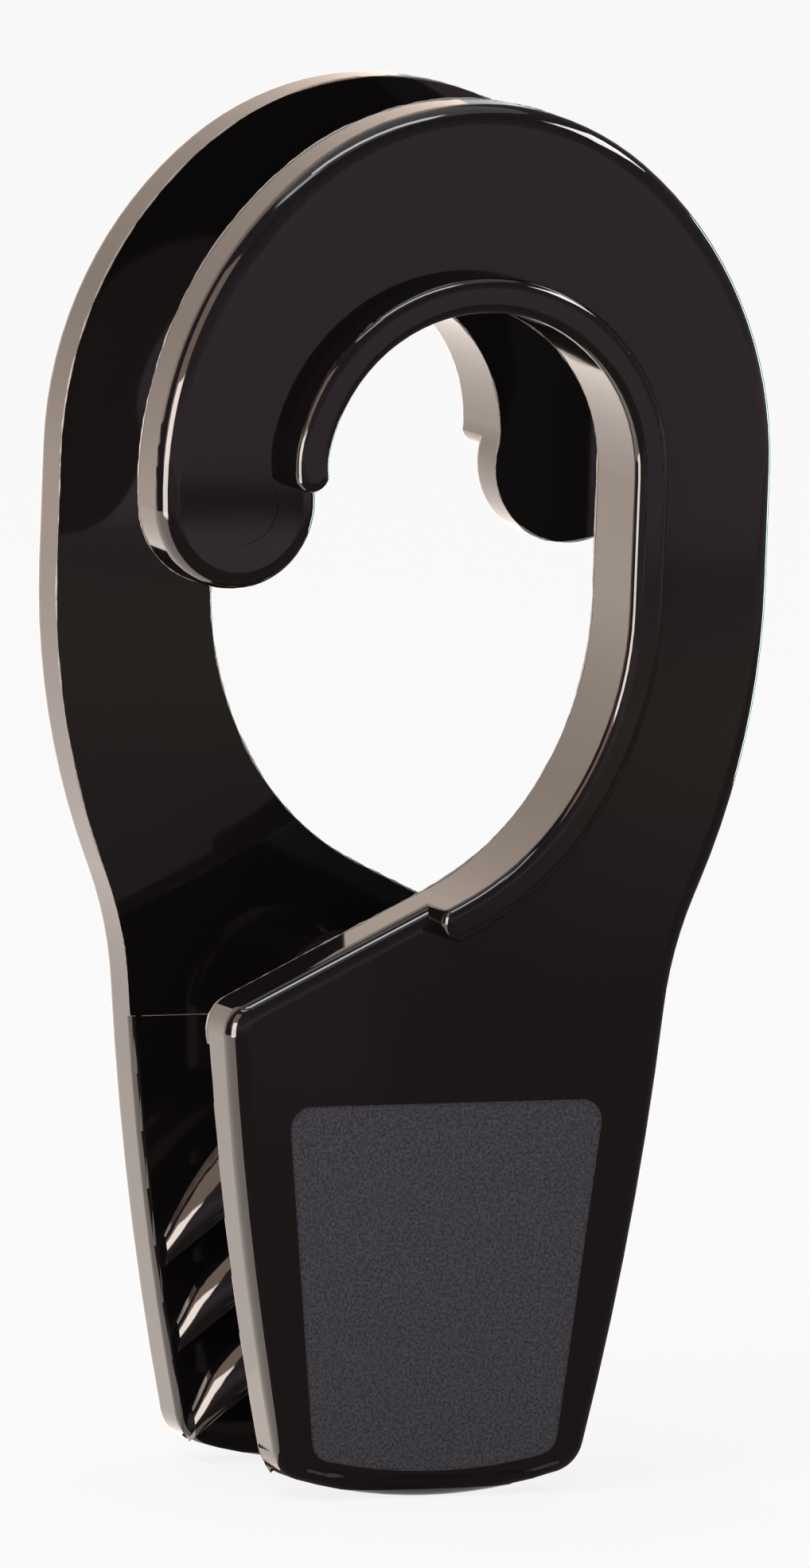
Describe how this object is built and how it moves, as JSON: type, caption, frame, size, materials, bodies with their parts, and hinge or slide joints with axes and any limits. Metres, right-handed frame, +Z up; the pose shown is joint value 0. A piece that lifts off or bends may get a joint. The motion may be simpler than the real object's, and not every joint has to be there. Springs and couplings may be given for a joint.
{
  "type": "fender hanger",
  "caption": "Gloss black moulded fender hanger: paired opposed hooks turn onto a boat rail, and toothed side channels below a saddle hold the fender line.",
  "frame": {"origin": "centre of the rail seat, on the half-turn axis of the moulding", "axes": "+Z up towards the crown of the hooks, +Y along the rail from the front plate to the rear plate, +X to the right seen from the front"},
  "size_m": [0.0782, 0.045, 0.1633],
  "materials": {
    "moulded_gloss": "high-gloss black moulding with a fine grained field on each outer face"
  },
  "bodies": {
    "root": {"hanger_body": "moulded_gloss"}
  },
  "joints": []
}
